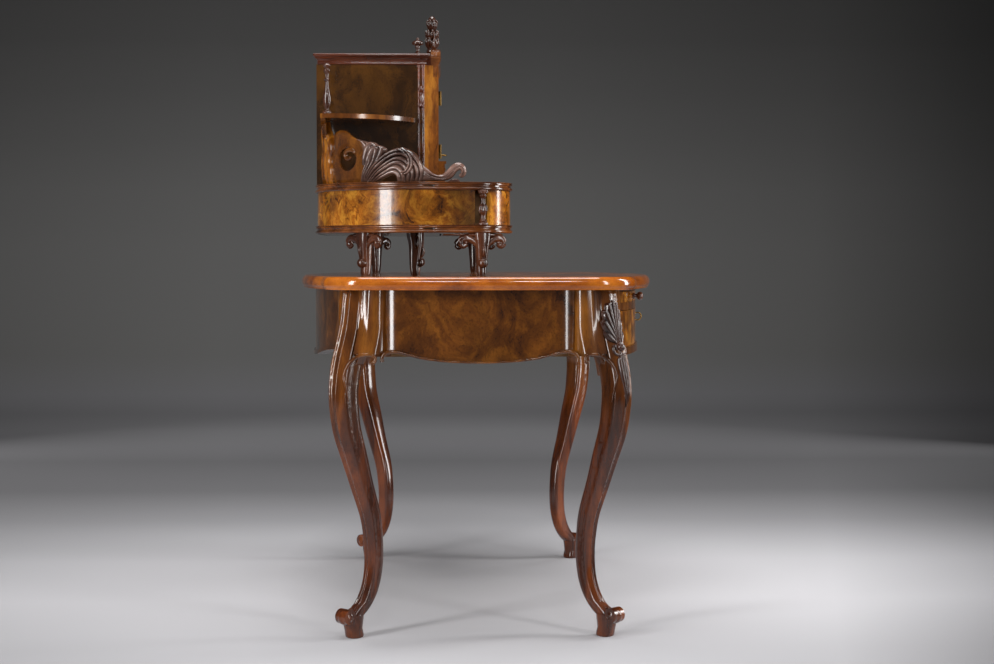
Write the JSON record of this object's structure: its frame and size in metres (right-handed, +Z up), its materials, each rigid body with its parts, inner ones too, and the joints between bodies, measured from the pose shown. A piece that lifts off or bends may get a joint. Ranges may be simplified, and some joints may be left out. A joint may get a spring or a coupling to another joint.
{
  "type": "poudreuse dressing table",
  "caption": "Carved walnut lady's dressing table with bowed drawer, writing slide, and a raised case with small drawers, mirrored cabinet, side shelves and pierced gallery.",
  "frame": {"origin": "on the floor, under the middle of the table", "axes": "+Z up; the front with the drawers looks along -Y; +X is to the right of someone facing along +Y"},
  "size_m": [1.14, 0.8098, 1.3675],
  "materials": {
    "top_veneer": "french polished walnut veneer",
    "edge_walnut": "polished solid walnut",
    "leg_walnut": "polished dark walnut",
    "carved_walnut": "polished dark carved walnut",
    "apron_veneer": "polished dark walnut veneer",
    "burl_veneer": "polished burl walnut veneer",
    "cabinet_veneer": "polished burl walnut veneer",
    "inner_wood": "plain oiled wood",
    "leather": "dark green leather",
    "brass": "worn brass",
    "steel": "plain steel",
    "mirror": "silvered glass"
  },
  "bodies": {
    "frame": {"table_top_panel": "top_veneer", "table_top_moulding": "edge_walnut", "leg_back_right": "leg_walnut", "leg_back_left": "leg_walnut", "leg_front_right": "leg_walnut", "leg_front_left": "leg_walnut", "knee_carvings": "carved_walnut", "apron_right": "apron_veneer", "apron_left": "apron_veneer", "apron_back": "apron_veneer", "front_rails_upper": "leg_walnut", "front_rail_lower": "leg_walnut", "drawer_runners": "inner_wood", "case_base_board": "inner_wood", "case_top_board": "burl_veneer", "case_lower_moulding": "leg_walnut", "case_upper_moulding": "leg_walnut", "case_walls": "burl_veneer", "case_uprights": "burl_veneer", "case_columns": "carved_walnut", "stand_legs": "leg_walnut", "cabinet_sides": "cabinet_veneer", "cabinet_back": "inner_wood", "cabinet_shelf": "inner_wood", "cabinet_pilasters": "burl_veneer", "cabinet_half_columns": "carved_walnut", "cabinet_cornice": "leg_walnut", "cabinet_pediment": "burl_veneer", "pediment_crest": "carved_walnut", "corner_finials": "carved_walnut", "door_hinge_pins": "brass", "side_shelves": "top_veneer", "wing_planks": "leg_walnut", "shelf_balusters": "carved_walnut", "gallery_planks": "edge_walnut", "gallery_leaves": "carved_walnut"},
    "writing_slide": {"writing_slide_board": "edge_walnut", "writing_slide_leather": "leather", "slide_knobs": "carved_walnut"},
    "desk_drawer": {"drawer_front": "burl_veneer", "drawer_sides": "inner_wood", "drawer_back": "inner_wood", "drawer_bottom": "inner_wood", "drawer_lock_case": "steel", "drawer_escutcheon": "brass"},
    "desk_drawer_key": {"drawer_key": "brass"},
    "desk_drawer_bolt": {"drawer_bolt": "steel"},
    "right_drawer": {"right_drawer_front": "burl_veneer", "right_drawer_tray": "inner_wood"},
    "left_drawer": {"left_drawer_front": "burl_veneer", "left_drawer_tray": "inner_wood"},
    "centre_drawer": {"centre_drawer_front": "burl_veneer", "centre_drawer_tray": "inner_wood"},
    "cabinet_door": {"door_frame": "burl_veneer", "door_mirror": "mirror", "door_hinge_knuckles": "brass", "door_lock_case": "steel", "door_escutcheon": "brass"},
    "cabinet_door_key": {"door_key": "brass"},
    "cabinet_door_bolt": {"door_bolt": "steel"}
  },
  "joints": [
    {"name": "writing_slide_out", "type": "slide", "parent": "frame", "child": "writing_slide", "axis": [0, -1, 0], "range_m": [0, 0.26]},
    {"name": "desk_drawer_out", "type": "slide", "parent": "frame", "child": "desk_drawer", "axis": [0, -1, 0], "range_m": [0, 0.34]},
    {"name": "desk_drawer_key_turn", "type": "hinge", "parent": "desk_drawer", "child": "desk_drawer_key", "pos_m": [0, -0.353, 0.66], "axis": [0, 1, 0], "range_deg": [0, 90]},
    {"name": "desk_drawer_bolt_up", "type": "slide", "parent": "desk_drawer", "child": "desk_drawer_bolt", "axis": [0, 0, 1], "range_m": [0, 0.01]},
    {"name": "right_drawer_out", "type": "slide", "parent": "frame", "child": "right_drawer", "axis": [0, -1, 0], "range_m": [0, 0.16]},
    {"name": "left_drawer_out", "type": "slide", "parent": "frame", "child": "left_drawer", "axis": [0, -1, 0], "range_m": [0, 0.16]},
    {"name": "centre_drawer_out", "type": "slide", "parent": "frame", "child": "centre_drawer", "axis": [0, -1, 0], "range_m": [0, 0.14]},
    {"name": "cabinet_door_swing", "type": "hinge", "parent": "frame", "child": "cabinet_door", "pos_m": [-0.164, 0.0826, 1.09], "axis": [0, 0, -1], "range_deg": [0, 105]},
    {"name": "cabinet_door_key_turn", "type": "hinge", "parent": "cabinet_door", "child": "cabinet_door_key", "pos_m": [0.141, 0.108, 1.048], "axis": [0, 1, 0], "range_deg": [0, 90]},
    {"name": "cabinet_door_bolt_out", "type": "slide", "parent": "cabinet_door", "child": "cabinet_door_bolt", "axis": [1, 0, 0], "range_m": [0, 0.01]}
  ],
  "couplings": [
    {"joint": "desk_drawer_bolt_up", "follows": "desk_drawer_key_turn", "m_per_rad": 0.0063598},
    {"joint": "cabinet_door_bolt_out", "follows": "cabinet_door_key_turn", "m_per_rad": 0.0063598}
  ]
}
